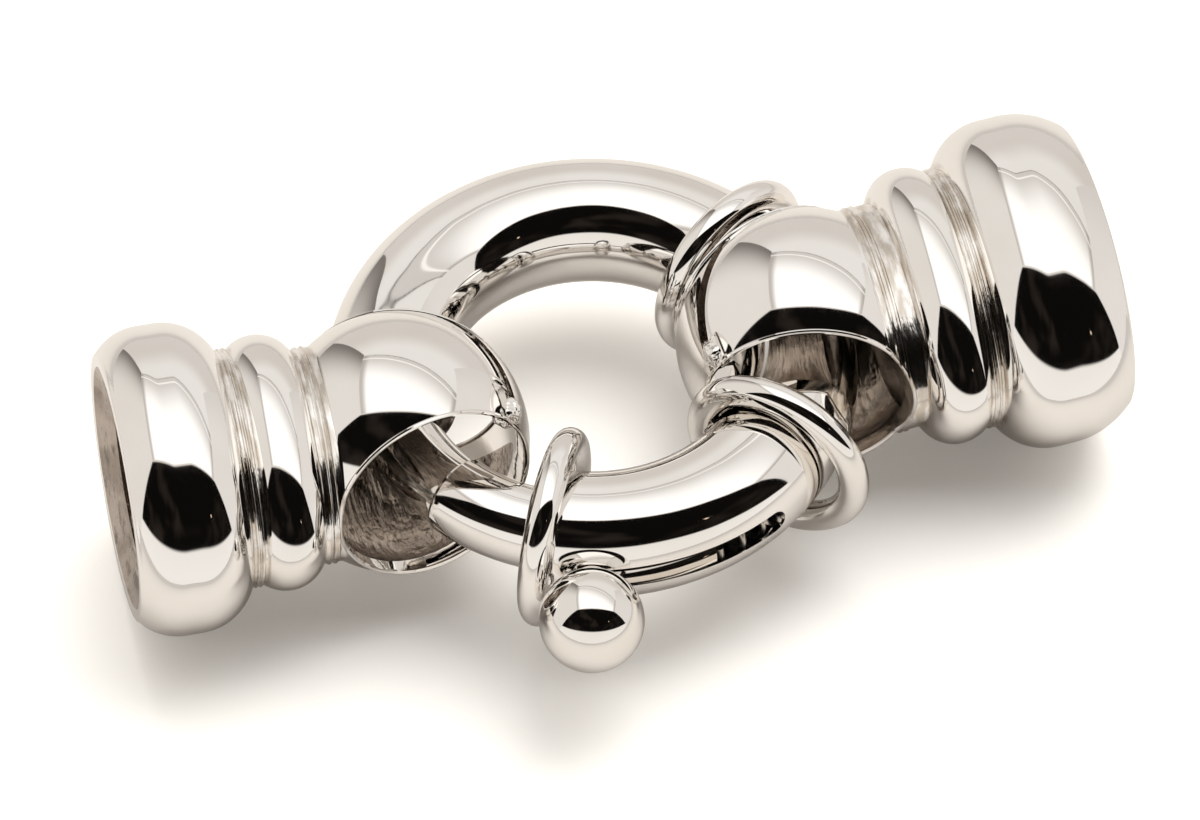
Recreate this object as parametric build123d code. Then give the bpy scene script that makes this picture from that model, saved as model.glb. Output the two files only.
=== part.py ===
from build123d import *
import os
from math import asin, cos, degrees, radians, sin, sqrt

# Bolt ring clasp: a hollow ring with a sprung curved bolt, and a cord end cap
# looped on the ring at each side. Millimetres, +Z up. The origin is the centre
# of the ring's eye, on the ring's mid plane. Angles run anticlockwise from +X.

os.makedirs("parts", exist_ok=True)

# ---- ring tube ----
RING_RADIUS = 8.16          # from the eye's centre to the tube's centreline
TUBE_DIAMETER = 5.0
BORE_DIAMETER = 3.36
TUBE_START_DEG = 257.0      # end that the bolt slides out of
TUBE_END_DEG = 558.0        # end that takes the bolt's tip
MOUTH_CHAMFER = 0.16        # softened edge inside both tube ends

# ---- bolt ----
BOLT_CLEARANCE = 0.05       # radial running clearance in the bore
TIP_RELIEF = 0.12           # the tip is this much slimmer, in radius
TIP_DEPTH_DEG = 6.0         # how far the tip reaches into the far tube end
TIP_LENGTH_DEG = 36.0       # slim part, from the tip's end to its shoulder
BOLT_TAIL_DEG = 300.0
BOLT_END_CHAMFER = 0.3

# ---- knob on the bolt ----
KNOB_DEG = 270.0
KNOB_RISE_DEG = 6.0         # slot and knob stand this much above the tube's equator
KNOB_DIAMETER = 4.14
KNOB_CLEARANCE = 0.1        # between the ball and the tube it slides along
STEM_DIAMETER = 0.9
STEM_IN_BOLT = 1.1          # how deep the stem is set in the bolt
STEM_IN_KNOB = 1.0          # how deep the stem is set in the ball
SLOT_CLEARANCE = 0.06       # on each side of the stem
BOLT_TRAVEL_DEG = 42.0
SLOT_OVERRUN_DEG = 1.0      # free slot past the stem at each end of its travel

# ---- return spring and its stop, inside the tube ----
SPRING_WIRE = 0.3
SPRING_CLEARANCE = 0.1      # radial, to the bore
SPRING_TURNS = 13
SPRING_POINTS_PER_TURN = 12
SPRING_END_GAP_DEG = 0.4
STOP_DEG = 385.0            # face of the stop that the spring pushes on
STOP_LENGTH_DEG = 9.0

# ---- three wire bands soldered on the tube ----
BAND_WIRE = 1.22
BAND_INNER_DIAMETER = 5.56
BAND_TOUCH_GAP = 0.02       # at the spot where the solder holds each band
SOLDER_RADIUS = 0.62
SOLDER_OVERHANG_DEG = 4.0   # tube cleared past the solder when its flat is cut
FRONT_BAND_DEG = 259.1
FRONT_BAND_TURN_DEG = -3.5  # this band sits a little askew
LOWER_RIGHT_BAND_DEG = 331.4
UPPER_RIGHT_BAND_DEG = 46.0

# ---- end caps: places along a cap's axis, from the centre of its dome ----
SOCKET_FLARE_LENGTH = 0.7   # the socket opens out this close to the rim
CROWN_START_X = -9.6        # the end bead has a short flat crown
CROWN_END_X = -8.9
OUTER_GROOVE_START_X = -6.72
OUTER_GROOVE_END_X = -6.2
MIDDLE_CROWN_X = -5.15
SOCKET_FLOOR_X = -5.0
INNER_GROOVE_START_X = -3.75
PARTITION_X = -3.1          # dome side of the wall between socket and dome
CAP_WALL = 0.45             # of the hollow dome
RIM_LIP = 0.55              # flat ring of metal round the open mouth
EYE_CENTRE_X = 0.8          # axis of the round cross hole, towards the nose
EYE_DIAMETER = 8.0
SEAM_WIDTH = 0.5            # the slit by which the loop was closed on the ring
SEAM_TILT = (-0.312, 0.465, 0.827)
SEAM_SHARE = 0.29           # distance of the slit from the dome's centre, of its radius
SEAM_START_SHARE = 0.42     # the slit runs nose-wards from here, of the dome's radius
SEAM_LOW_SHARE = 0.25       # and only above this height
SEAM_SIDE_SHARE = 0.85      # and this far to each side
NUB_RADIUS = 0.62
NUB_DEPTH = 0.31            # from the dome's surface to the nub's centre
NUB_DIRECTION = (0.83, 0.33, 0.45)


# ---- how the caps lie on the ring: dome centre, turn, rise and roll of the nose ----
LEFT_CAP_CENTRE = (-7.68, -3.95, 0.65)
LEFT_CAP_AZIMUTH = 12.7
LEFT_CAP_RISE = -0.8
LEFT_CAP_ROLL = -7.0
RIGHT_CAP_CENTRE = (8.55, 1.65, 0.4)
RIGHT_CAP_AZIMUTH = 195.9
RIGHT_CAP_RISE = -2.8
RIGHT_CAP_ROLL = 3.0


def at_ring(angle_deg, radius=RING_RADIUS, height=0.0):
    """A point at an angle round the ring."""
    angle = radians(angle_deg)
    return Vector(radius * cos(angle), radius * sin(angle), height)


def ring_sweep(section, start_deg, end_deg):
    """Turn a section about the ring's axis; its X is outwards and its Y is up."""
    laid = Plane.XZ * Pos(RING_RADIUS, 0) * section
    return revolve(laid, Axis.Z, end_deg - start_deg).rotate(Axis.Z, start_deg)


def ring_rod(radius, start_deg, end_deg):
    """A round bar bent to the ring's radius."""
    return ring_sweep(Circle(radius), start_deg, end_deg)


def across_tube(angle_deg):
    """A plane square across the tube: X outwards, Y up."""
    angle = radians(angle_deg)
    return Plane(at_ring(angle_deg), x_dir=(cos(angle), sin(angle), 0),
                 z_dir=(sin(angle), -cos(angle), 0))


def spoke(radius, angle_deg, inner, outer):
    """A round pin along the knob's direction, between two distances from the centreline."""
    length = outer - inner
    return (across_tube(angle_deg) * Rot(Z=KNOB_RISE_DEG) * Pos(inner + length / 2, 0, 0)
            * Rot(Y=90) * Cylinder(radius, length))


def arc_degrees(length):
    """The angle that a length takes up on the tube's centreline."""
    return degrees(length / RING_RADIUS)


tube_radius = TUBE_DIAMETER / 2
bore_radius = BORE_DIAMETER / 2
bolt_radius = bore_radius - BOLT_CLEARANCE
tip_radius = bolt_radius - TIP_RELIEF
stem_radius = STEM_DIAMETER / 2
slot_half_width = stem_radius + SLOT_CLEARANCE
knob_radius = KNOB_DIAMETER / 2
knob_reach = tube_radius + KNOB_CLEARANCE + knob_radius
stem_foot = bolt_radius - STEM_IN_BOLT
far_mouth_deg = TUBE_END_DEG - 360
bolt_tip_deg = far_mouth_deg - TIP_DEPTH_DEG


def make_ring_tube():
    """C-shaped tube with a slot for the knob's stem along its outer side."""
    tube = ring_rod(tube_radius, TUBE_START_DEG, TUBE_END_DEG)
    tube -= ring_rod(bore_radius, TUBE_START_DEG, TUBE_END_DEG)
    mouths = [edge for edge in tube.edges().filter_by(GeomType.CIRCLE)
              if abs(edge.radius - bore_radius) < 0.001]
    tube = chamfer(mouths, MOUTH_CHAMFER)
    slot_start = KNOB_DEG - SLOT_OVERRUN_DEG
    slot_end = KNOB_DEG + BOLT_TRAVEL_DEG + SLOT_OVERRUN_DEG
    slot_depth = tube_radius + slot_half_width
    slot_section = Rot(Z=KNOB_RISE_DEG) * Pos(slot_depth / 2, 0) * Rectangle(
        slot_depth, 2 * slot_half_width)
    slot = ring_sweep(slot_section, slot_start, slot_end)
    for end_deg in (slot_start, slot_end):
        slot += spoke(slot_half_width, end_deg, 0, slot_depth)
    return tube - slot


def make_band(angle_deg, lean, turn_deg=0.0):
    """Wire ring round the tube, hanging out (1) or in (-1) and soldered at the near side."""
    wire_radius = BAND_WIRE / 2
    band_radius = BAND_INNER_DIAMETER / 2 + wire_radius
    shift = lean * (BAND_INNER_DIAMETER / 2 - tube_radius - BAND_TOUCH_GAP)
    place = across_tube(angle_deg)
    wire = place * Rot(Y=turn_deg) * Pos(shift, 0, 0) * Torus(band_radius, wire_radius)
    solder = place * Pos(-lean * tube_radius, 0, 0) * Sphere(SOLDER_RADIUS)
    solder_arc = arc_degrees(SOLDER_RADIUS) + SOLDER_OVERHANG_DEG
    solder -= ring_rod(tube_radius, angle_deg - solder_arc, angle_deg + solder_arc)
    return wire + solder


def make_bolt():
    """Curved bar with a slimmer tip and a blind hole for the knob's stem."""
    shoulder_deg = bolt_tip_deg + TIP_LENGTH_DEG
    bar = ring_rod(bolt_radius, shoulder_deg, BOLT_TAIL_DEG)
    bar += ring_rod(tip_radius, bolt_tip_deg, shoulder_deg)
    tip_end = min(bar.edges().filter_by(GeomType.CIRCLE),
                  key=lambda edge: (edge.arc_center - at_ring(bolt_tip_deg)).length)
    bar = chamfer(tip_end, BOLT_END_CHAMFER)
    return bar - spoke(stem_radius, KNOB_DEG, stem_foot, tube_radius)


def make_stem():
    """Pin between the bolt and the ball, through the tube's slot."""
    return spoke(stem_radius, KNOB_DEG, stem_foot, knob_reach - knob_radius + STEM_IN_KNOB)


def make_knob():
    """Ball that the thumb pushes, bored for its stem."""
    ball_place = across_tube(KNOB_DEG) * Rot(Z=KNOB_RISE_DEG) * Pos(knob_reach, 0, 0)
    ball = ball_place * Sphere(knob_radius)
    ball_face = knob_reach - knob_radius
    return ball - spoke(stem_radius, KNOB_DEG, ball_face - STEM_IN_KNOB, ball_face + STEM_IN_KNOB)


def make_spring():
    """Coil spring bent to the ring, between the bolt's tail and the stop."""
    coil_radius = bore_radius - SPRING_CLEARANCE - SPRING_WIRE / 2
    end_room = arc_degrees(SPRING_WIRE / 2) + SPRING_END_GAP_DEG
    start_deg = BOLT_TAIL_DEG + end_room
    end_deg = STOP_DEG - end_room
    steps = SPRING_TURNS * SPRING_POINTS_PER_TURN
    points = []
    for step in range(steps + 1):
        turn = radians(360 * step / SPRING_POINTS_PER_TURN)
        along_deg = start_deg + (end_deg - start_deg) * step / steps
        points.append(at_ring(along_deg, RING_RADIUS + coil_radius * cos(turn),
                              coil_radius * sin(turn)))
    path = Spline(*points)
    wire_plane = Plane(path @ 0, z_dir=path % 0)
    return sweep(wire_plane * Circle(SPRING_WIRE / 2), path=path, is_frenet=True)


def make_stop():
    """Slug fixed in the bore behind the spring."""
    return ring_rod(bore_radius, STOP_DEG, STOP_DEG + STOP_LENGTH_DEG)


class CapSize:
    """The diameters of one end cap, rim to dome, and of its cord socket."""

    def __init__(self, length, rim, end_bead, outer_groove, middle_bead, inner_groove, dome,
                 socket):
        self.rim_x = -length
        self.rim = rim / 2
        self.end_bead = end_bead / 2
        self.outer_groove = outer_groove / 2
        self.middle_bead = middle_bead / 2
        self.inner_groove = inner_groove / 2
        self.dome = dome / 2
        self.socket = socket / 2


LEFT_CAP = CapSize(length=11.4, rim=10.8, end_bead=12.4, outer_groove=9.46, middle_bead=10.25,
                   inner_groove=8.6, dome=10.44, socket=8.0)
RIGHT_CAP = CapSize(length=12.0, rim=11.8, end_bead=13.5, outer_groove=10.6, middle_bead=11.35,
                    inner_groove=9.2, dome=10.44, socket=8.8)


def bead_arc(crown, end):
    """Round shoulder of a bead: level at its crown, down to the given end."""
    return TangentArc(crown, end, tangent=(1 if end[0] > crown[0] else -1, 0))


def make_cap_body(size):
    """Turned outline of the cap about its axis, with the cord socket open."""
    groove_to_dome_x = -sqrt(size.dome ** 2 - size.inner_groove ** 2)
    outline = Curve() + [
        Line((size.rim_x, 0), (size.rim_x, size.rim)),
        bead_arc((CROWN_START_X, size.end_bead), (size.rim_x, size.rim)),
        Line((CROWN_START_X, size.end_bead), (CROWN_END_X, size.end_bead)),
        bead_arc((CROWN_END_X, size.end_bead), (OUTER_GROOVE_START_X, size.outer_groove)),
        Line((OUTER_GROOVE_START_X, size.outer_groove), (OUTER_GROOVE_END_X, size.outer_groove)),
        bead_arc((MIDDLE_CROWN_X, size.middle_bead), (OUTER_GROOVE_END_X, size.outer_groove)),
        bead_arc((MIDDLE_CROWN_X, size.middle_bead), (INNER_GROOVE_START_X, size.inner_groove)),
        Line((INNER_GROOVE_START_X, size.inner_groove), (groove_to_dome_x, size.inner_groove)),
        CenterArc((0, 0), size.dome, 0, 180 - degrees(asin(size.inner_groove / size.dome))),
        Line((size.rim_x, 0), (size.dome, 0)),
    ]
    body = revolve(make_face(outline), Axis.X)
    mouth_radius = size.rim - RIM_LIP
    socket_length = SOCKET_FLOOR_X - size.rim_x
    body -= Pos((SOCKET_FLOOR_X + size.rim_x) / 2, 0, 0) * Rot(Y=90) * Cylinder(size.socket, socket_length)
    body -= (Pos(size.rim_x + SOCKET_FLARE_LENGTH / 2, 0, 0) * Rot(Y=90)
             * Cone(mouth_radius, size.socket, SOCKET_FLARE_LENGTH))
    return body


def make_end_cap(size, seam_side):
    """One cap: bell for the cord, two grooves, and the hollow dome with its eye."""
    cap = make_cap_body(size)
    hollow_radius = size.dome - CAP_WALL
    hollow = Sphere(hollow_radius)
    hollow -= Pos(PARTITION_X - hollow_radius, 0, 0) * Box(2 * hollow_radius, 3 * hollow_radius,
                                                          3 * hollow_radius)
    eye = Rot(X=90) * Cylinder(EYE_DIAMETER / 2, 3 * size.dome)
    cap -= hollow
    cap -= Pos(EYE_CENTRE_X, 0, 0) * eye
    cap -= make_seam(size, seam_side)
    return cap + make_nub(size, seam_side)


def make_seam(size, seam_side):
    """Slanting slit over the nose side of the dome's upper strap."""
    tilt = (SEAM_TILT[0], seam_side * SEAM_TILT[1], SEAM_TILT[2])
    slit = Plane((0, 0, 0), x_dir=(0, SEAM_TILT[2], -seam_side * SEAM_TILT[1]), z_dir=tilt)
    slab = slit * Pos(0, 0, SEAM_SHARE * size.dome - SEAM_WIDTH / 2) * Box(
        3 * size.dome, 3 * size.dome, SEAM_WIDTH)
    reach = 2 * size.dome
    upper_nose_side = Pos(SEAM_START_SHARE * size.dome, 0, SEAM_LOW_SHARE * size.dome) * Box(
        reach, SEAM_SIDE_SHARE * reach, reach, align=(Align.MIN, Align.CENTER, Align.MIN))
    return slab & upper_nose_side


def make_nub(size, seam_side):
    """Blob of solder that closes the slit at its front end."""
    nose, side, up = NUB_DIRECTION
    outwards = Vector(nose, seam_side * side, up).normalized()
    return Pos(outwards * (size.dome - NUB_DEPTH)) * Sphere(NUB_RADIUS)


def cap_plane(centre, azimuth_deg, rise_deg, roll_deg):
    """Place of a cap: X along its axis to the nose, then rolled about that axis."""
    azimuth, rise = radians(azimuth_deg), radians(rise_deg)
    nose = Vector(cos(azimuth) * cos(rise), sin(azimuth) * cos(rise), sin(rise))
    up = Vector(-cos(azimuth) * sin(rise), -sin(azimuth) * sin(rise), cos(rise))
    return Plane(centre, x_dir=nose, z_dir=up) * Rot(X=roll_deg)


left_cap_plane = cap_plane(LEFT_CAP_CENTRE, LEFT_CAP_AZIMUTH, LEFT_CAP_RISE, LEFT_CAP_ROLL)
right_cap_plane = cap_plane(RIGHT_CAP_CENTRE, RIGHT_CAP_AZIMUTH, RIGHT_CAP_RISE, RIGHT_CAP_ROLL)

nodes = {
    "ring_tube": make_ring_tube(),
    "front_band": make_band(FRONT_BAND_DEG, -1, FRONT_BAND_TURN_DEG),
    "lower_right_band": make_band(LOWER_RIGHT_BAND_DEG, 1),
    "upper_right_band": make_band(UPPER_RIGHT_BAND_DEG, -1),
    "bolt": make_bolt(),
    "knob_stem": make_stem(),
    "thumb_knob": make_knob(),
    "return_spring": make_spring(),
    "spring_stop": make_stop(),
    "left_end_cap": left_cap_plane * make_end_cap(LEFT_CAP, -1),
    "right_end_cap": right_cap_plane * make_end_cap(RIGHT_CAP, 1),
}

for node_name, shape in nodes.items():
    export_step(shape, f"parts/{node_name}.step")
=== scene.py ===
from math import asin, atan2, cos, degrees, hypot, pi, radians, sin, sqrt

import bmesh
import bpy
from mathutils import Matrix, Vector, noise


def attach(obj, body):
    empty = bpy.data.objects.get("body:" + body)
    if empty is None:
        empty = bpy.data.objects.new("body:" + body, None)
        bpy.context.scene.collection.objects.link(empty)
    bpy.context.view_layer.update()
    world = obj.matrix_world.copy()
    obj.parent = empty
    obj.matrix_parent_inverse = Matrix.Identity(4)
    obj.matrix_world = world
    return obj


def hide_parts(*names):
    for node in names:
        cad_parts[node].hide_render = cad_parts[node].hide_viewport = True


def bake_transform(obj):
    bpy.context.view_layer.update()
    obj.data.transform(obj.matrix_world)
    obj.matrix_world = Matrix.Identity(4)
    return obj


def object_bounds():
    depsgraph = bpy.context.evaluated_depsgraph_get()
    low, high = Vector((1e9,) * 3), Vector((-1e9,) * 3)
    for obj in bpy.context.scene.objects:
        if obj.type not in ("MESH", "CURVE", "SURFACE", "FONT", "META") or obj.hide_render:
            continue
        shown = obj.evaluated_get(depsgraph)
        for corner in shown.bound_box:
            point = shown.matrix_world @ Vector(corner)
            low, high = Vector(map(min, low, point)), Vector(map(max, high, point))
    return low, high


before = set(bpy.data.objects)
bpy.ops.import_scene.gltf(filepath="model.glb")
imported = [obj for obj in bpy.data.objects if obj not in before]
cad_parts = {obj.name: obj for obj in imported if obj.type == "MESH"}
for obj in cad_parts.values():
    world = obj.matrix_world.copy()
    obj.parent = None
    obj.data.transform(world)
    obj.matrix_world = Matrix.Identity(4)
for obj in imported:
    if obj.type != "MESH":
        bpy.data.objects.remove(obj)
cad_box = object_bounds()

# ---- camera, table and light tent ----
# The clasp lies on a plain white table in a small light tent. The tent's ceiling is white,
# warm grey cloth stands round the clasp, and the dark open side of the tent is in front.

MM = 0.001
view_rise = radians(50.7)
camera_distance = 0.35
seen_width = 0.048
sensor_width = 36
aim_right, aim_down = 0.32 * MM, 1.4 * MM
towards_camera = Vector((0, -cos(view_rise), sin(view_rise)))
aim = Vector((aim_right, 0, 0)) - aim_down * Vector((0, sin(view_rise), cos(view_rise)))
camera_data = bpy.data.cameras.new("camera")
camera = bpy.data.objects.new("camera", camera_data)
bpy.context.collection.objects.link(camera)
camera.location = aim + camera_distance * towards_camera
camera.rotation_euler = (pi / 2 - view_rise, 0, 0)
camera_data.sensor_width = sensor_width
camera_data.lens = sensor_width * camera_distance / seen_width
camera_data.clip_start = 0.01
camera_data.clip_end = 20
bpy.context.scene.camera = camera
bpy.context.scene.view_settings.view_transform = "Standard"

table_gap = 0.00002
table_height = cad_box[0][2] - table_gap
bpy.ops.object.select_all(action="DESELECT")
bpy.ops.mesh.primitive_plane_add(size=3, location=(0, 0, table_height))
table = bpy.context.object
table.name = "table"

# Sockets of a Mix node that mixes colours.
MIX_FACTOR, MIX_FIRST, MIX_SECOND, MIX_RESULT = 0, 6, 7, 2


def new_material(name):
    """A node material, with its node tree and its Principled shader."""
    material = bpy.data.materials.new(name)
    material.use_nodes = True
    tree = material.node_tree
    return material, tree, tree.nodes["Principled BSDF"]


def math_node(tree, operation, *values):
    """A Math node on sockets or numbers; gives its output."""
    node = tree.nodes.new("ShaderNodeMath")
    node.operation = operation
    for slot_index, value in enumerate(values):
        if isinstance(value, (int, float)):
            node.inputs[slot_index].default_value = value
        else:
            tree.links.new(value, node.inputs[slot_index])
    return node.outputs[0]


def soft_step(tree, value, low, high):
    """0 below low, 1 above high, smooth between."""
    node = tree.nodes.new("ShaderNodeMapRange")
    node.interpolation_type = "SMOOTHSTEP"
    node.inputs["From Min"].default_value = low
    node.inputs["From Max"].default_value = high
    tree.links.new(value, node.inputs["Value"])
    return node.outputs["Result"]


def mix_colour(tree, factor, first, second):
    """Mix of two colours, each a socket or an RGB triple, by the factor of a socket."""
    node = tree.nodes.new("ShaderNodeMix")
    node.data_type = "RGBA"
    for value, socket_index in ((first, MIX_FIRST), (second, MIX_SECOND)):
        if isinstance(value, tuple):
            node.inputs[socket_index].default_value = (*value, 1)
        else:
            tree.links.new(value, node.inputs[socket_index])
    tree.links.new(factor, node.inputs[MIX_FACTOR])
    return node.outputs[MIX_RESULT]


table_paper, tree, shader = new_material("table paper")
ray = tree.nodes.new("ShaderNodeLightPath")
spread = tree.nodes.new("ShaderNodeVectorMath")
spread.operation = "LENGTH"
tree.links.new(tree.nodes.new("ShaderNodeTexCoord").outputs["Object"], spread.inputs[0])
# Painted shade: in the metal's mirror the table is painted darker than it looks straight on,
# lighter near the clasp and darker further out.
mirrored_shade = mix_colour(tree, soft_step(tree, spread.outputs["Value"], 20 * MM, 160 * MM),
                      (0.515, 0.492, 0.468), (0.355, 0.344, 0.334))
tree.links.new(mix_colour(tree, ray.outputs["Is Glossy Ray"], (0.945, 0.928, 0.895), mirrored_shade),
               shader.inputs["Base Color"])
shader.inputs["Roughness"].default_value = 0.9
shader.inputs["Specular IOR Level"].default_value = 0.1
shader.inputs["Emission Color"].default_value = (1, 1, 1, 1)
tree.links.new(math_node(tree, "MULTIPLY", ray.outputs["Is Camera Ray"], 0.04),
               shader.inputs["Emission Strength"])
table.data.materials.append(table_paper)

world = bpy.data.worlds.new("light tent")
bpy.context.scene.world = world
world.use_nodes = True
tree = world.node_tree
tree.nodes.clear()
split = tree.nodes.new("ShaderNodeSeparateXYZ")
tree.links.new(tree.nodes.new("ShaderNodeTexCoord").outputs["Generated"], split.inputs[0])

# The tent is a box, measured in ceiling heights from the clasp. The bright part of its
# ceiling, the panel, ends in a dark seam that runs aslant.
tent_left, tent_right, tent_front, tent_back = -0.6, 1.15, -0.22, 1.15
panel_slope = 0.42
panel_edge = 0.85
reaches = [math_node(tree, "DIVIDE", split.outputs[axis], wall) for axis, wall in (
    (0, tent_left), (0, tent_right), (1, tent_front), (1, tent_back), (2, 1.0))]
reach = reaches[0]
for other in reaches[1:]:
    reach = math_node(tree, "MAXIMUM", reach, other)
across, away, up = [math_node(tree, "DIVIDE", split.outputs[axis], reach) for axis in range(3)]


def wall_mask(coordinate, wall):
    """1 on one wall of the tent, 0 elsewhere."""
    return math_node(tree, "COMPARE", coordinate, wall, 0.004)


def bump_at(value, centre, half_width, soft):
    """1 within a band round a value, fading out over a soft edge."""
    offset = math_node(tree, "ABSOLUTE", math_node(tree, "SUBTRACT", value, centre))
    return math_node(tree, "SUBTRACT", 1.0, soft_step(tree, offset, half_width, half_width + soft))


ceiling = wall_mask(up, 1.0)
front = wall_mask(away, tent_front)
slant = math_node(tree, "ADD", away, math_node(tree, "MULTIPLY", across, panel_slope))
panel = math_node(tree, "SUBTRACT", 1.0,
                  soft_step(tree, slant, panel_edge - 0.01, panel_edge + 0.01))
side_turn = soft_step(tree, away, 0.3, tent_back)
cloth = mix_colour(tree, soft_step(tree, up, 0.0, 0.35), (0.93, 0.90, 0.86), (0.76, 0.72, 0.68))
left_cloth = mix_colour(tree, side_turn, (0.82, 0.785, 0.745), (0.2, 0.18, 0.165))
cloth = mix_colour(tree, wall_mask(across, tent_left), cloth, left_cloth)
right_cloth = mix_colour(tree, side_turn, (0.82, 0.79, 0.76), (0.72, 0.69, 0.66))
cloth = mix_colour(tree, wall_mask(across, tent_right), cloth, right_cloth)
back_cloth = mix_colour(tree, soft_step(tree, up, 0.35, 0.95),
                        (0.70, 0.66, 0.62), (0.86, 0.84, 0.81))
cloth = mix_colour(tree, wall_mask(away, tent_back), cloth, back_cloth)

glow = mix_colour(tree, soft_step(tree, slant, 0.15, 0.8), (1.25, 1.24, 1.22), (0.68, 0.655, 0.625))
sides = math_node(tree, "MAXIMUM", bump_at(across, tent_left, 0.03, 0.13),
                  bump_at(across, tent_right, 0.03, 0.16))
glow = mix_colour(tree, math_node(tree, "MULTIPLY", sides, 0.8), glow, (0.42, 0.38, 0.35))
glow = mix_colour(tree, math_node(tree, "MULTIPLY", bump_at(slant, 0.73, 0.006, 0.016), 0.8), glow,
                  (1.2, 1.18, 1.15))
glow = mix_colour(tree, bump_at(slant, panel_edge, 0.007, 0.012), glow, (0.10, 0.085, 0.075))
clips = math_node(tree, "MULTIPLY", bump_at(slant, panel_edge + 0.01, 0.02, 0.006), math_node(
    tree, "GREATER_THAN", math_node(tree, "SINE", math_node(tree, "MULTIPLY", across, 30)), 0.9))
glow = mix_colour(tree, clips, glow, (0.01, 0.01, 0.01))
glow = mix_colour(tree, panel, back_cloth, glow)
lit = mix_colour(tree, ceiling, cloth, glow)

above_sill = soft_step(tree, up, 0.10, 0.115)
below_top = math_node(tree, "SUBTRACT", 1.0, soft_step(tree, up, 0.90, 0.93))
right_of_post = soft_step(tree, across, tent_left + 0.02, tent_left + 0.04)
left_of_post = math_node(tree, "SUBTRACT", 1.0,
                         soft_step(tree, across, tent_right - 0.05, tent_right - 0.03))
opening = math_node(tree, "MULTIPLY", right_of_post, left_of_post)
opening = math_node(tree, "MULTIPLY", below_top, opening)
opening = math_node(tree, "MULTIPLY", above_sill, opening)
room = tree.nodes.new("ShaderNodeTexNoise")
room.inputs["Scale"].default_value = 2.2
room.inputs["Detail"].default_value = 2
tree.links.new(split.inputs[0].links[0].from_socket, room.inputs["Vector"])
dark = mix_colour(tree, soft_step(tree, room.outputs["Fac"], 0.5, 0.75), (0.004, 0.0035, 0.003),
                  (0.022, 0.017, 0.014))
spark = math_node(tree, "MULTIPLY", bump_at(across, 0.25, 0.004, 0.003),
                  bump_at(up, 0.25, 0.006, 0.004))
dark = mix_colour(tree, spark, dark, (1.4, 1.1, 0.85))
lit = mix_colour(tree, math_node(tree, "MULTIPLY", front, opening), lit, dark)
ray = tree.nodes.new("ShaderNodeLightPath")
lit = mix_colour(tree, ray.outputs["Is Camera Ray"], lit, (1, 1, 1))
background = tree.nodes.new("ShaderNodeBackground")
tree.links.new(lit, background.inputs["Color"])
tree.links.new(math_node(tree, "ADD", 1.0, math_node(
    tree, "MULTIPLY", ray.outputs["Is Diffuse Ray"], 0.95)), background.inputs["Strength"])
tent = tree.nodes.new("ShaderNodeOutputWorld")
tree.links.new(background.outputs[0], tent.inputs["Surface"])

lamp_data = bpy.data.lights.new("tent lamp", "SUN")
lamp_data.energy = 2.0
lamp_data.angle = radians(46)
lamp_data.color = (1.0, 0.985, 0.96)
lamp = bpy.data.objects.new("tent lamp", lamp_data)
bpy.context.collection.objects.link(lamp)
lamp.rotation_euler = Vector((0.24, 0.38, 1.0)).to_track_quat("Z", "Y").to_euler()
lamp.visible_glossy = False


# ---- ring tube ----
# A round tube bent to a C and polished. The bolt slides inside it, and a slot along its
# outer side lets the knob's stem travel. Both ends are cut square and softened.

ring_radius = 8.16
tube_radius = 2.5
bore_radius = 1.68
tube_start = 257
tube_turn = 301
tube_end = tube_start + tube_turn


def polished_silver(name):
    """Buffed metal: slight waviness, faint haze and a warm drift in colour."""
    material, tree, shader = new_material(name)
    place = tree.nodes.new("ShaderNodeTexCoord").outputs["Object"]

    def cloud(size_mm, detail):
        node = tree.nodes.new("ShaderNodeTexNoise")
        node.inputs["Scale"].default_value = 1000 / size_mm
        node.inputs["Detail"].default_value = detail
        tree.links.new(place, node.inputs["Vector"])
        return node.outputs["Fac"]

    colour = mix_colour(tree, soft_step(tree, cloud(4, 3), 0.35, 0.7),
                        (0.93, 0.905, 0.875), (0.89, 0.86, 0.82))
    haze = tree.nodes.new("ShaderNodeMapRange")
    haze.inputs["To Min"].default_value = 0.02
    haze.inputs["To Max"].default_value = 0.07
    tree.links.new(cloud(1.2, 4), haze.inputs["Value"])
    bump = tree.nodes.new("ShaderNodeBump")
    bump.inputs["Strength"].default_value = 0.25
    bump.inputs["Distance"].default_value = 0.00006
    tree.links.new(cloud(2.6, 1), bump.inputs["Height"])
    tree.links.new(bump.outputs[0], shader.inputs["Normal"])
    tree.links.new(haze.outputs["Result"], shader.inputs["Roughness"])
    shader.inputs["Metallic"].default_value = 1
    return material, tree, shader, colour


def circle_points(radius, count, centre=ring_radius):
    """Points of a circle in the XZ plane."""
    return [(centre + radius * cos(2 * pi * k / count), 0, radius * sin(2 * pi * k / count))
            for k in range(count)]


def only_active(piece):
    """Selects one piece alone and makes it active, for the operators that follow."""
    bpy.ops.object.select_all(action="DESELECT")
    bpy.context.view_layer.objects.active = piece
    piece.select_set(True)


def spun(name, loop, closed, turn_deg, steps, axis=(0, 0, 1)):
    """Spins an outline about an axis through the origin and gives the new object."""
    mesh = bpy.data.meshes.new(name)
    edges = [(k, k + 1) for k in range(len(loop) - 1)]
    if closed:
        edges.append((len(loop) - 1, 0))
    mesh.from_pydata(loop, edges, [])
    piece = bpy.data.objects.new(name, mesh)
    bpy.context.collection.objects.link(piece)
    only_active(piece)
    bpy.ops.object.mode_set(mode="EDIT")
    bpy.ops.mesh.select_all(action="SELECT")
    bpy.ops.mesh.spin(steps=steps, angle=-radians(turn_deg), center=(0, 0, 0), axis=axis)
    bpy.ops.mesh.select_all(action="SELECT")
    bpy.ops.mesh.remove_doubles(threshold=0.0005)
    bpy.ops.object.mode_set(mode="OBJECT")
    return piece


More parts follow.
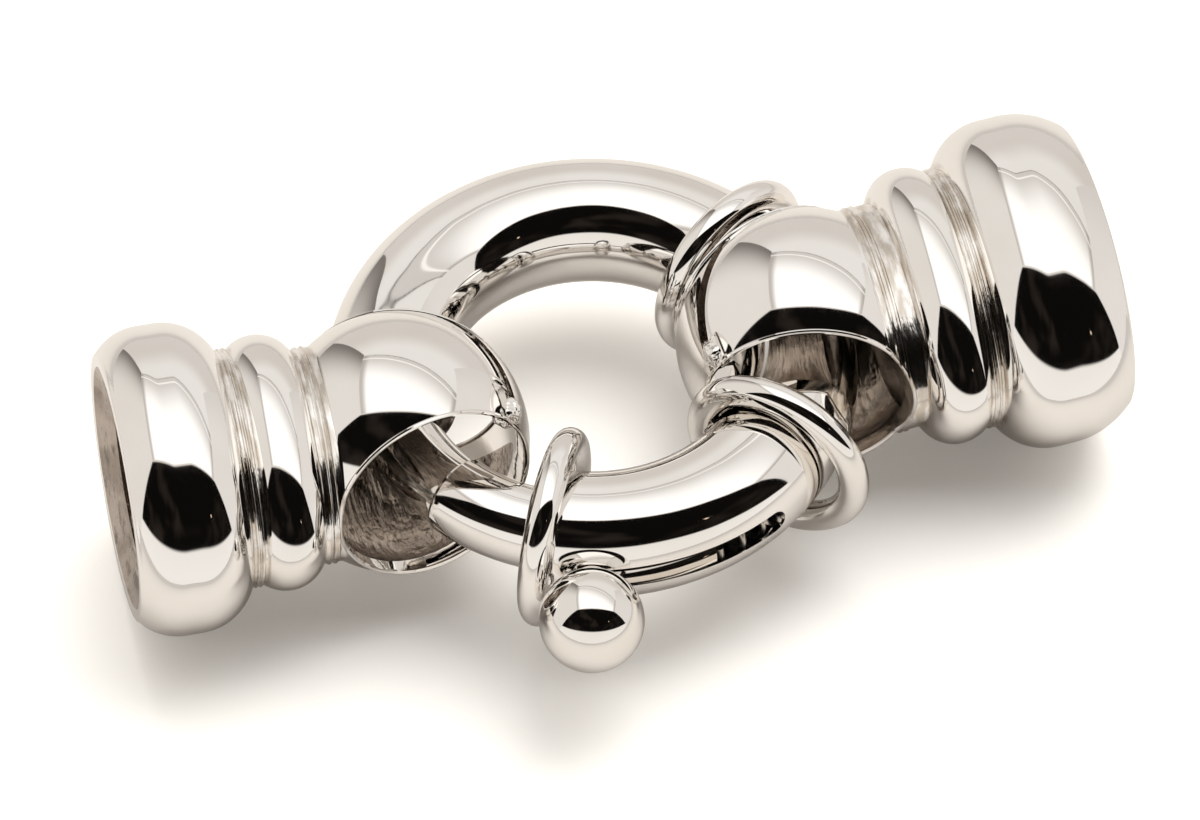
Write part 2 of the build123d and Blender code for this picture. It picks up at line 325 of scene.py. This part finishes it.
def edit_selected(piece, wanted, *actions):
    """Selects the edges that pass a test, then runs edit-mode operators on them."""
    only_active(piece)
    bpy.ops.object.mode_set(mode="EDIT")
    bpy.ops.mesh.select_mode(type="EDGE")
    bpy.ops.mesh.select_all(action="DESELECT")
    shape = bmesh.from_edit_mesh(piece.data)
    for edge in shape.edges:
        edge.select_set(wanted(edge))
    bmesh.update_edit_mesh(piece.data)
    for action in actions:
        action()
    bpy.ops.object.mode_set(mode="OBJECT")


def cut_with(piece, cutter):
    """Cuts a piece with another solid, which is then thrown away."""
    only_active(piece)
    cut = piece.modifiers.new("cut", "BOOLEAN")
    cut.operation = "DIFFERENCE"
    cut.solver = "EXACT"
    cut.object = cutter
    cut.material_mode = "TRANSFER"
    bpy.ops.object.modifier_apply(modifier="cut")
    bpy.data.objects.remove(cutter)


def outwards(piece):
    """Turns every face of a closed piece outwards."""
    shape = bmesh.new()
    shape.from_mesh(piece.data)
    bmesh.ops.recalc_face_normals(shape, faces=shape.faces)
    shape.to_mesh(piece.data)
    shape.free()


def smooth_in_metres(piece, sharp_deg):
    """Scales a piece to metres and shades it smooth, but for its sharp edges."""
    piece.data.transform(Matrix.Scale(MM, 4))
    only_active(piece)
    bpy.ops.object.shade_smooth_by_angle(angle=radians(sharp_deg))


def finish_piece(piece, body, slot_name, *nodes, sharp_deg=34):
    """To metres, smooth shaded, riding on its body in place of its plain solids."""
    smooth_in_metres(piece, sharp_deg)
    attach(piece, body)
    if nodes:
        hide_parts(*nodes)


def turn_of(point):
    """Angle of a point round the ring, from 0 to 360."""
    return degrees(atan2(point.y, point.x)) % 360


def near_turn(point, turn_deg, reach_deg):
    """Whether a point is within a few degrees of an angle round the ring."""
    return abs((turn_of(point) - turn_deg + 180) % 360 - 180) < reach_deg


def close_end(piece, end_deg):
    """Fills the open end of a bent piece that lies at an angle round the ring."""
    edit_selected(piece, lambda edge: edge.is_boundary and all(
        near_turn(v.co, end_deg, 0.05) for v in edge.verts), bpy.ops.mesh.edge_face_add)


def curved_bar(name, radius, start_deg, turn_deg, sides, steps):
    """A round bar bent to the ring, closed at both ends."""
    bar = spun(name, circle_points(radius, sides), True, turn_deg, steps)
    bar.data.transform(Matrix.Rotation(radians(start_deg), 4, "Z"))
    for end_deg in (start_deg, start_deg + turn_deg):
        close_end(bar, end_deg)
    outwards(bar)
    return bar


tube = curved_bar("ring_tube_polished", tube_radius, tube_start, tube_turn, 112, 280)
cut_with(tube, curved_bar("bore", bore_radius, tube_start - 1.5, tube_turn + 3, 80, 280))


def soften_mouth(mouth_deg):
    """Rounds the inner and outer edge of one mouth of the tube."""
    def is_rim(edge):
        at_mouth = all(near_turn(v.co, mouth_deg, 0.02) for v in edge.verts)
        return at_mouth and len(edge.link_faces) == 2 and edge.calc_face_angle() > 1

    edit_selected(tube, is_rim, lambda: bpy.ops.mesh.bevel(
        offset=0.1, segments=4, affect="EDGES", clamp_overlap=True))


for mouth_deg in (tube_start, tube_end):
    soften_mouth(mouth_deg)

knob_turn = 270
knob_rise = radians(6)
knob_travel = 42
stem_radius = 0.45
slot_half_width = stem_radius + 0.06
slot_floor, slot_top = 0.9, 3.2
slot_start, slot_end = knob_turn - 1, knob_turn + knob_travel + 1


def knob_spoke(turn_deg):
    """Matrix whose Z runs outwards from the tube's centreline along the knob's stem."""
    return (Matrix.Rotation(radians(turn_deg), 4, "Z") @ Matrix.Translation((ring_radius, 0, 0))
            @ Matrix.Rotation(-knob_rise, 4, "Y") @ Matrix.Rotation(pi / 2, 4, "Y"))


def pin(radius, low, high, turn_deg, sides=40):
    """A round pin along the stem's direction."""
    bpy.ops.object.select_all(action="DESELECT")
    bpy.ops.mesh.primitive_cylinder_add(vertices=sides, radius=radius, depth=high - low,
                                        location=(0, 0, (low + high) / 2))
    piece = bpy.context.object
    bpy.ops.object.transform_apply(location=True, rotation=True, scale=True)
    piece.data.transform(knob_spoke(turn_deg))
    return piece


slot_corners = [(slot_floor, -slot_half_width), (slot_top, -slot_half_width),
                (slot_top, slot_half_width), (slot_floor, slot_half_width)]
slot_loop = [(ring_radius + x * cos(knob_rise) - z * sin(knob_rise), 0,
              x * sin(knob_rise) + z * cos(knob_rise)) for x, z in slot_corners]
slot = spun("slot", slot_loop, True, slot_end - slot_start, 44)
slot.data.transform(Matrix.Rotation(radians(slot_start), 4, "Z"))
for end_deg in (slot_start, slot_end):
    close_end(slot, end_deg)
outwards(slot)
cut_with(tube, slot)
for end_deg in (slot_start, slot_end):
    cut_with(tube, pin(slot_half_width, slot_floor, slot_top, end_deg))

silver, tree, shader, colour = polished_silver("polished silver tube")
tree.links.new(colour, shader.inputs["Base Color"])
tube.data.materials.clear()
tube.data.materials.append(silver)
bore_metal, tree, shader = new_material("matt bore")
shader.inputs["Base Color"].default_value = (0.72, 0.68, 0.63, 1)
shader.inputs["Metallic"].default_value = 1
shader.inputs["Roughness"].default_value = 0.5
tube.data.materials.append(bore_metal)
for face in tube.data.polygons:
    out = hypot(hypot(face.center.x, face.center.y) - ring_radius, face.center.z)
    near_mouth = near_turn(face.center, tube_start, 3) or near_turn(face.center, tube_end, 3)
    face.material_index = 1 if out < bore_radius + 0.02 and not near_mouth else 0
finish_piece(tube, "ring", "polished_metal", "ring_tube")


# ---- three wire bands ----
# Rings of round wire with the tube running through them. Each hangs to one side and is
# held there by a small lump of solder.

band_wire = 1.22
band_inner = 5.56


def solder_lump(name, place, size, seed):
    """A small lump of run solder, lumpy and bright."""
    bpy.ops.object.select_all(action="DESELECT")
    bpy.ops.mesh.primitive_ico_sphere_add(subdivisions=5, radius=size, location=(0, 0, 0))
    lump = bpy.context.object
    lump.name = name
    for v in lump.data.vertices:
        spot = v.co / size
        swell = 0.16 * noise.noise(spot * 1.7 + Vector((seed, 0, 0)))
        grain = 0.05 * noise.noise(spot * 5 + Vector((0, seed, 0)))
        v.co *= 1 + swell + grain
    lump.data.transform(Matrix.Translation(place))
    lump.data.materials.append(silver)
    return lump


def wire_band(name, turn_deg, lean, askew_deg=0):
    """One band: a wire ring, and its solder on the side where it touches the tube."""
    wire = band_wire / 2
    shift = lean * (band_inner / 2 - tube_radius - 0.02)
    bpy.ops.object.select_all(action="DESELECT")
    bpy.ops.mesh.primitive_torus_add(major_segments=160, minor_segments=48,
                                     major_radius=band_inner / 2 + wire, minor_radius=wire)
    band = bpy.context.object
    band.name = name
    across = Matrix.Rotation(radians(turn_deg), 4, "Z")
    band.data.transform(across @ Matrix.Translation((ring_radius, 0, 0))
                        @ Matrix.Rotation(radians(askew_deg), 4, "Z")
                        @ Matrix.Translation((shift, 0, 0)) @ Matrix.Rotation(pi / 2, 4, "X"))
    for v in band.data.vertices:
        spot = v.co * 0.5
        v.co += 0.018 * Vector((noise.noise(spot), noise.noise(spot + Vector((5, 0, 0))),
                                noise.noise(spot + Vector((0, 7, 0)))))
    band.data.materials.append(silver)
    touch = across @ Vector((ring_radius - lean * (tube_radius + 0.1), 0, 0))
    lump = solder_lump(name + "_solder", touch, 0.56, turn_deg)
    finish_piece(lump, "ring", "polished_metal")
    finish_piece(band, "ring", "polished_metal", name.replace("_wire", ""))


wire_band("front_band_wire", 259.1, -1, -3.5)
wire_band("lower_right_band_wire", 331.4, 1)
wire_band("upper_right_band_wire", 46.0, -1)


# ---- bolt, stem and knob ----
# The bolt is a curved bar that slides inside the tube. Its tip is turned down a little, so
# it finds the far mouth. A thin pin joins it to the ball that the thumb pushes.

bolt_radius = 1.63
tip_radius = 1.51
bolt_tip = 192
bolt_shoulder = 228
bolt_tail = 300
shoulder_turn = 0.5
nose_turn = 2
nose_bevel = 0.22

bolt = curved_bar("bolt_bar", bolt_radius, bolt_tip, bolt_tail - bolt_tip, 96, 216)
for v in bolt.data.vertices:
    turn = turn_of(v.co)
    slim = min(1, max(0, (bolt_shoulder + 0.75 - turn) / shoulder_turn))
    nose = max(0, (bolt_tip + nose_turn - turn) / nose_turn) ** 2
    taper = 1 - (1 - tip_radius / bolt_radius) * slim - nose_bevel * nose
    centre = Vector((cos(radians(turn)), sin(radians(turn)), 0)) * ring_radius
    v.co = centre + (v.co - centre) * taper
bolt.data.materials.append(silver)
finish_piece(bolt, "bolt", "polished_metal", "bolt", sharp_deg=20)

knob_radius = 2.07
knob_flat_radius = 0.62
knob_gap = 0.1
knob_reach = tube_radius + knob_gap + knob_radius
stem_foot = 0.6
stem_in_knob = 0.6

bpy.ops.object.select_all(action="DESELECT")
bpy.ops.mesh.primitive_uv_sphere_add(segments=128, ring_count=96, radius=knob_radius)
knob = bpy.context.object
knob.name = "thumb_ball"
flat_height = -sqrt(knob_radius ** 2 - knob_flat_radius ** 2)
for v in knob.data.vertices:
    if v.co.z < flat_height:
        v.co.z = flat_height
knob.data.transform(knob_spoke(knob_turn) @ Matrix.Translation((0, 0, knob_reach)))
knob.data.materials.append(silver)
finish_piece(knob, "bolt", "polished_metal", "thumb_knob")

stem = pin(stem_radius, stem_foot, knob_reach - knob_radius + stem_in_knob, knob_turn, 48)
stem.name = "stem_pin"
stem.data.materials.append(silver)
finish_piece(stem, "bolt", "polished_metal", "knob_stem")


# ---- return spring and stop ----
# A coil of spring wire lies in the tube, between the bolt's tail and a slug soldered in the
# bore. It pushes the bolt shut.

stop_face = 385
coil_windings = 13


spring_wire, tree, shader = new_material("drawn spring wire")
place = tree.nodes.new("ShaderNodeTexCoord").outputs["Object"]
draw_marks = tree.nodes.new("ShaderNodeTexNoise")
draw_marks.inputs["Scale"].default_value = 6000
draw_marks.inputs["Detail"].default_value = 3
tree.links.new(place, draw_marks.inputs["Vector"])
tree.links.new(mix_colour(tree, draw_marks.outputs["Fac"], (0.66, 0.64, 0.61), (0.8, 0.785, 0.76)),
               shader.inputs["Base Color"])
shader.inputs["Metallic"].default_value = 1
shader.inputs["Roughness"].default_value = 0.3

wire_radius = 0.15
coil_radius = bore_radius - 0.1 - wire_radius
coil_end_gap = 1.45
coil_start = bolt_tail + coil_end_gap
coil_turn = stop_face - bolt_tail - 2 * coil_end_gap
coil = curved_bar("return_spring_coil", wire_radius, coil_start, coil_turn, 12, 26 * coil_windings)
for v in coil.data.vertices:
    along = ((turn_of(v.co) - coil_start + 5) % 360 - 5) / coil_turn   # 0 to 1 over the coil
    out, rise = hypot(v.co.x, v.co.y) - ring_radius, v.co.z
    outward = Vector((v.co.x, v.co.y, 0)).normalized()
    winding = 2 * pi * coil_windings * along
    spoke = outward * cos(winding) + Vector((0, 0, sin(winding)))
    v.co = (outward * ring_radius + spoke * (coil_radius + out)
            + Vector((-outward.y, outward.x, 0)) * rise)
outwards(coil)
coil.data.materials.append(spring_wire)
smooth_in_metres(coil, 40)
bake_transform(coil)
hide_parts("return_spring")
for material_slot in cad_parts["spring_stop"].material_slots:
    material_slot.material = silver


# ---- end caps ----
# Each cap has a bell for the cord, a groove, a bead, a groove and a hollow dome with a round
# eye right through it. A slanting seam is cut through the strap over the eye, and a lump of
# solder holds the seam's front end. Along a cap's axis, x is 0 at the dome's centre.

eye_centre = 0.8
eye_radius = 4.0
dome_wall = 0.45
partition = -3.1
socket_floor = -5.0
socket_flare = 0.7
rim_lip = 0.55
inner_groove_end = -3.75
middle_crown = -5.15
outer_groove_start = -6.2
outer_groove_end = -6.72
outer_groove_ridges = (-6.36, -6.56)
end_crown_start = -8.9
end_crown_length = 0.7
end_crown_end = end_crown_start - end_crown_length


class Cap:
    """Radii of one cap along its axis, its dome's place, and how far its shading is turned."""

    def __init__(self, name, centre, turn, rise, roll, side, length, rim, end_bead, outer_groove,
                 middle_bead, inner_groove, socket):
        self.name, self.side, self.rim_x, self.dome = name, side, -length, 5.22
        self.rim, self.end_bead, self.outer_groove = rim, end_bead, outer_groove
        self.middle_bead, self.inner_groove, self.socket = middle_bead, inner_groove, socket
        self.meet = -sqrt(self.dome ** 2 - inner_groove ** 2)
        self.end_lean = 17 if side < 0 else 22
        turn, rise = radians(turn), radians(rise)
        nose = Vector((cos(turn) * cos(rise), sin(turn) * cos(rise), sin(rise)))
        top = Vector((-cos(turn) * sin(rise), -sin(turn) * sin(rise), cos(rise)))
        self.place = Matrix((nose, top.cross(nose), top)).transposed().to_4x4()
        self.place = self.place @ Matrix.Rotation(radians(roll), 4, "X")
        self.place.translation = centre


left_cap = Cap("left_end_cap", (-7.68, -3.95, 0.65), 12.7, -0.8, -7, -1, 11.4, 5.4, 6.2, 4.73,
               5.125, 4.3, 4.0)
right_cap = Cap("right_end_cap", (8.55, 1.65, 0.4), 195.9, -2.8, 3, 1, 12.0, 5.9, 6.75, 5.3,
                5.675, 4.6, 4.4)


def bead_curve(crown, end, count):
    """Points of a round shoulder, level at its crown, from the crown to its end."""
    run, drop = end[0] - crown[0], crown[1] - end[1]
    bow = (run * run + drop * drop) / (2 * drop)
    sweep = asin(min(1, abs(run) / bow))
    sign = 1 if run > 0 else -1
    return [(crown[0] + sign * bow * sin(sweep * k / count),
             crown[1] - bow * (1 - cos(sweep * k / count))) for k in range(count + 1)]


def groove_floor(start, end, radius, ridges):
    """Floor of a groove with fine raised lines, like those of a turning tool."""
    count = 24
    points = []
    for k in range(1, count):
        x = start + (end - start) * k / count
        lift = sum(0.07 * max(0, 1 - ((x - ridge) / 0.075) ** 2) for ridge in ridges)
        points.append((x, radius + lift))
    return points


def cap_outline(cap):
    """Half outline from the nose round to the floor of the cord socket."""
    meet_turn = pi - asin(cap.inner_groove / cap.dome)
    points = [(cap.dome * cos(meet_turn * k / 84), cap.dome * sin(meet_turn * k / 84))
              for k in range(85)]
    points += groove_floor(cap.meet, inner_groove_end, cap.inner_groove,
                           (cap.meet - 0.3, cap.meet - 0.56))
    middle_top = (middle_crown, cap.middle_bead)
    points += bead_curve(middle_top, (inner_groove_end, cap.inner_groove), 22)[::-1]
    points += bead_curve(middle_top, (outer_groove_start, cap.outer_groove), 18)[1:]
    points += groove_floor(outer_groove_start, outer_groove_end, cap.outer_groove,
                           outer_groove_ridges)
    end_top = (end_crown_start, cap.end_bead)
    points += bead_curve(end_top, (outer_groove_end, cap.outer_groove), 30)[::-1]
    points += [(end_crown_start - end_crown_length * k / 8, cap.end_bead) for k in range(1, 8)]
    points += bead_curve((end_crown_end, cap.end_bead), (cap.rim_x + 0.12, cap.rim + 0.03), 24)
    lip = cap.rim - rim_lip
    points += [(cap.rim_x + 0.05, cap.rim - 0.02), (cap.rim_x, cap.rim - 0.1)]
    points += [(cap.rim_x, lip + 0.08), (cap.rim_x + 0.04, lip)]
    points += [(cap.rim_x + socket_flare, cap.socket), (socket_floor - 0.15, cap.socket),
               (socket_floor, cap.socket - 0.15)]
    points += [(socket_floor, (cap.socket - 0.15) * (1 - k / 6)) for k in range(1, 7)]
    return points


def along_axis(tree, cap):
    """Object coordinates turned and centred on the cap: X along its axis, in metres."""
    node = tree.nodes.new("ShaderNodeMapping")
    node.vector_type = "TEXTURE"
    node.inputs["Location"].default_value = cap.place.translation * MM
    node.inputs["Rotation"].default_value = cap.place.to_euler()
    tree.links.new(tree.nodes.new("ShaderNodeTexCoord").outputs["Object"], node.inputs["Vector"])
    return node.outputs[0]


def noise_on(tree, vector, size_mm, detail, stretch=(1, 1, 1)):
    """Noise of a given grain size, with its grain drawn out along the cap's own axes."""
    scale = tree.nodes.new("ShaderNodeMapping")
    scale.inputs["Scale"].default_value = stretch
    tree.links.new(vector, scale.inputs["Vector"])
    node = tree.nodes.new("ShaderNodeTexNoise")
    node.inputs["Scale"].default_value = 1000 / size_mm
    node.inputs["Detail"].default_value = detail
    tree.links.new(scale.outputs[0], node.inputs["Vector"])
    return node.outputs["Fac"]


def cap_silver(cap):
    """Polished metal, but duller and scratched in the two grooves."""
    material, tree, shader, colour = polished_silver("polished silver " + cap.name)
    vector = along_axis(tree, cap)
    parts = tree.nodes.new("ShaderNodeSeparateXYZ")
    tree.links.new(vector, parts.inputs[0])
    masks = []
    for start, end in ((inner_groove_end - 0.05, cap.meet),
                       (outer_groove_end - 0.08, outer_groove_start + 0.08)):
        middle, half = (start + end) / 2 * MM, (end - start) / 2 * MM
        offset = math_node(tree, "ABSOLUTE", math_node(tree, "SUBTRACT", parts.outputs[0], middle))
        masks.append(math_node(tree, "SUBTRACT", 1.0, soft_step(
            tree, offset, half - 0.03 * MM, half + 0.06 * MM)))
    groove = math_node(tree, "MAXIMUM", *masks)
    scratches = noise_on(tree, vector, 0.55, 3, (1.6, 0.45, 0.45))
    worn = math_node(tree, "MULTIPLY", groove, soft_step(tree, scratches, 0.35, 0.62))
    tree.links.new(mix_colour(tree, worn, colour, (0.62, 0.56, 0.49)), shader.inputs["Base Color"])
    rough = math_node(tree, "ADD", shader.inputs["Roughness"].links[0].from_socket,
                      math_node(tree, "MULTIPLY", groove, 0.08))
    tree.links.new(rough, shader.inputs["Roughness"])
    smooth_bump = shader.inputs["Normal"].links[0].from_node
    scratch_bump = tree.nodes.new("ShaderNodeBump")
    scratch_bump.inputs["Distance"].default_value = 0.0001
    tree.links.new(math_node(tree, "MULTIPLY", groove, 0.35), scratch_bump.inputs["Strength"])
    tree.links.new(scratches, scratch_bump.inputs["Height"])
    tree.links.new(smooth_bump.outputs[0], scratch_bump.inputs["Normal"])
    tree.links.new(scratch_bump.outputs[0], shader.inputs["Normal"])
    return material


def cast_inside(cap):
    """Dark cast skin inside the dome and the bell: brown, grainy, with ring marks."""
    material, tree, shader = new_material("cast inside " + cap.name)
    vector = along_axis(tree, cap)
    rings = tree.nodes.new("ShaderNodeTexWave")
    rings.wave_type = "RINGS"
    rings.rings_direction = "SPHERICAL"
    rings.inputs["Scale"].default_value = 260
    rings.inputs["Distortion"].default_value = 3
    rings.inputs["Detail"].default_value = 3
    rings.inputs["Detail Scale"].default_value = 3
    tree.links.new(vector, rings.inputs["Vector"])
    grain = noise_on(tree, vector, 0.6, 5, (2.4, 0.5, 0.5))
    patches = noise_on(tree, vector, 1.6, 3)
    tone = mix_colour(tree, soft_step(tree, patches, 0.35, 0.65), (0.34, 0.29, 0.25),
                      (0.50, 0.44, 0.385))
    tree.links.new(mix_colour(tree, soft_step(tree, grain, 0.55, 0.7), tone, (0.22, 0.18, 0.15)),
                   shader.inputs["Base Color"])
    shader.inputs["Metallic"].default_value = 1
    shader.inputs["Roughness"].default_value = 0.17
    ring_marks = math_node(tree, "MULTIPLY", rings.outputs["Fac"], 0.8)
    bump = tree.nodes.new("ShaderNodeBump")
    bump.inputs["Strength"].default_value = 0.75 if cap.side < 0 else 0.3
    bump.inputs["Distance"].default_value = 0.00016
    tree.links.new(math_node(tree, "ADD", grain, ring_marks), bump.inputs["Height"])
    tree.links.new(bump.outputs[0], shader.inputs["Normal"])
    return material


def sliced(piece, point, normal):
    """Cuts away what lies behind a plane, and closes the cut."""
    only_active(piece)
    bpy.ops.object.mode_set(mode="EDIT")
    bpy.ops.mesh.select_all(action="SELECT")
    bpy.ops.mesh.bisect(plane_co=point, plane_no=normal, use_fill=True, clear_inner=True)
    bpy.ops.object.mode_set(mode="OBJECT")


seam_width = 0.5


def seam_cutter(cap):
    """Thin slab for the slanting cut over the nose side of the upper strap."""
    across = Vector((-0.312, cap.side * 0.465, 0.827)).normalized()
    bpy.ops.object.select_all(action="DESELECT")
    bpy.ops.mesh.primitive_cube_add(size=1)
    slab = bpy.context.object
    slab.data.transform(Matrix.Diagonal((16, 16, seam_width, 1)))
    slab.data.transform(across.to_track_quat("Z", "X").to_matrix().to_4x4())
    slab.data.transform(Matrix.Translation(across * (0.29 * cap.dome - seam_width / 2)))
    sliced(slab, (0.42 * cap.dome, 0, 0), (1, 0, 0))
    sliced(slab, (0, 0, 0.25 * cap.dome), (0, 0, 1))
    sliced(slab, (0, -0.85 * cap.dome, 0), (0, 1, 0))
    sliced(slab, (0, 0.85 * cap.dome, 0), (0, -1, 0))
    outwards(slab)
    return slab


def eye_lip(cap, face, shine):
    """Burnished edge of the eye on one face: a fine round bead along it."""
    curve = bpy.data.curves.new(cap.name + "_lip", "CURVE")
    curve.dimensions = "3D"
    curve.bevel_depth = 0.1
    curve.bevel_resolution = 3
    line = curve.splines.new("POLY")
    count = 180
    line.points.add(count - 1)
    for k in range(count):
        x = eye_centre + eye_radius * cos(2 * pi * k / count)
        z = eye_radius * sin(2 * pi * k / count)
        radius = sqrt(cap.dome ** 2 - x * x) if x > cap.meet else cap.inner_groove
        line.points[k].co = (x, face * (sqrt(radius * radius - z * z) - 0.05), z, 1)
    line.use_cyclic_u = True
    bead = bpy.data.objects.new(cap.name + "_lip_curve", curve)
    bpy.context.collection.objects.link(bead)
    only_active(bead)
    bpy.ops.object.convert(target="MESH")
    bead = bpy.context.object
    bead.name = cap.name + ("_back_lip" if face > 0 else "_front_lip")
    bead.data.transform(cap.place)
    bead.data.materials.append(shine)
    outwards(bead)
    finish_piece(bead, cap.name.replace("_end", ""), "polished_metal")


middle_lean = 29
lean_fade = 40
bead_border = (outer_groove_start + outer_groove_end) / 2


def lean_beads(bell, cap):
    """Turns the shading normals on the beads' front, so that they mirror the tent lower.

    The shape stays round. The turn is greatest on the front, and fades out above and below.
    """
    nose = cap.place.to_3x3() @ Vector((1, 0, 0))
    into_cap = cap.place.inverted()
    normals = []
    for loop, corner in zip(bell.data.loops, bell.data.corner_normals):
        normal = corner.vector.copy()
        local = into_cap @ (bell.data.vertices[loop.vertex_index].co / MM)
        radius = hypot(local.y, local.z)
        if local.x < cap.meet + 0.02 and radius > cap.socket + 0.15 and normal.y < 0:
            turn = atan2(normal.z, -normal.y)
            rise = min(1, max(0, turn / radians(lean_fade) + 0.875))
            full_lean = cap.end_lean if local.x < bead_border else middle_lean
            lean = radians(full_lean) * rise * max(0, cos(turn)) ** 1.4
            normal = Matrix.Rotation(-lean if nose.x > 0 else lean, 3, nose) @ normal
        normals.append(normal)
    bell.data.normals_split_custom_set(normals)


def make_cap(cap):
    """One cap, with its solder and the burnished edges of its eye."""
    body_name = cap.name.replace("_end", "")
    shine, casting = cap_silver(cap), cast_inside(cap)
    outline = [(x, y, 0) for x, y in cap_outline(cap)]
    bell = spun(cap.name + "_turned", outline, False, 360, 208, (1, 0, 0))
    outwards(bell)
    bell.data.materials.append(shine)
    bell.data.materials.append(casting)
    for face in bell.data.polygons:
        x, radius = face.center.x, hypot(face.center.y, face.center.z)
        inside = cap.socket + 0.02 if x > cap.rim_x + socket_flare else cap.rim - 0.6
        face.material_index = int(x < socket_floor + 0.05 and radius < inside)
    hollow_radius = cap.dome - dome_wall
    bpy.ops.object.select_all(action="DESELECT")
    bpy.ops.mesh.primitive_uv_sphere_add(segments=128, ring_count=96, radius=hollow_radius)
    hollow = bpy.context.object
    hollow.data.materials.append(casting)
    sliced(hollow, (partition, 0, 0), (1, 0, 0))
    cut_with(bell, hollow)
    bpy.ops.object.select_all(action="DESELECT")
    bpy.ops.mesh.primitive_cylinder_add(vertices=200, radius=eye_radius, depth=14,
                                        location=(eye_centre, 0, 0), rotation=(pi / 2, 0, 0))
    eye = bpy.context.object
    bpy.ops.object.transform_apply(location=True, rotation=True, scale=True)
    eye.data.materials.append(shine)
    cut_with(bell, eye)
    slab = seam_cutter(cap)
    slab.data.materials.append(casting)
    cut_with(bell, slab)
    bell.data.transform(cap.place)
    finish_piece(bell, body_name, "polished_metal", cap.name)
    lean_beads(bell, cap)
    nub = Vector((0.83, cap.side * 0.33, 0.45)).normalized() * (cap.dome - 0.31)
    lump = solder_lump(cap.name + "_solder", cap.place @ nub, 0.6, cap.side * 3)
    finish_piece(lump, body_name, "polished_metal")
    for face in (1, -1):
        eye_lip(cap, face, shine)


make_cap(left_cap)
make_cap(right_cap)
